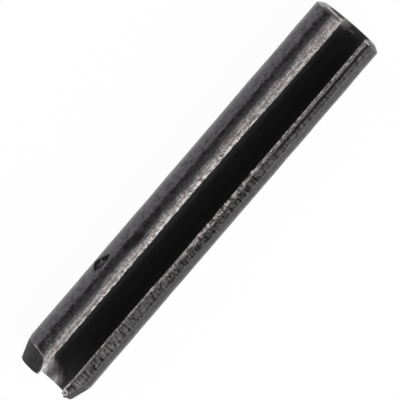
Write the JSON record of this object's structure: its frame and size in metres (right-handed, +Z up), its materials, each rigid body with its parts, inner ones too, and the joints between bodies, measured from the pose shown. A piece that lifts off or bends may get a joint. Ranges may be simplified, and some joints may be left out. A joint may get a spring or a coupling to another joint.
{
  "type": "spring roll pin",
  "caption": "Slotted spring pin rolled from strip steel: an open C-section tube with a tapered lead end, pressed into a hole to hold two parts together.",
  "frame": {"origin": "on the pin's axis, half way along its length", "axes": "+X along the pin towards its tapered lead end, +Z up through the middle of the slot; the pin lies on its back, as it comes to rest"},
  "size_m": [0.05, 0.0084, 0.0074],
  "materials": {
    "black_oxide_steel": "satin"
  },
  "bodies": {
    "root": {"spring_roll_pin": "black_oxide_steel"}
  },
  "joints": []
}
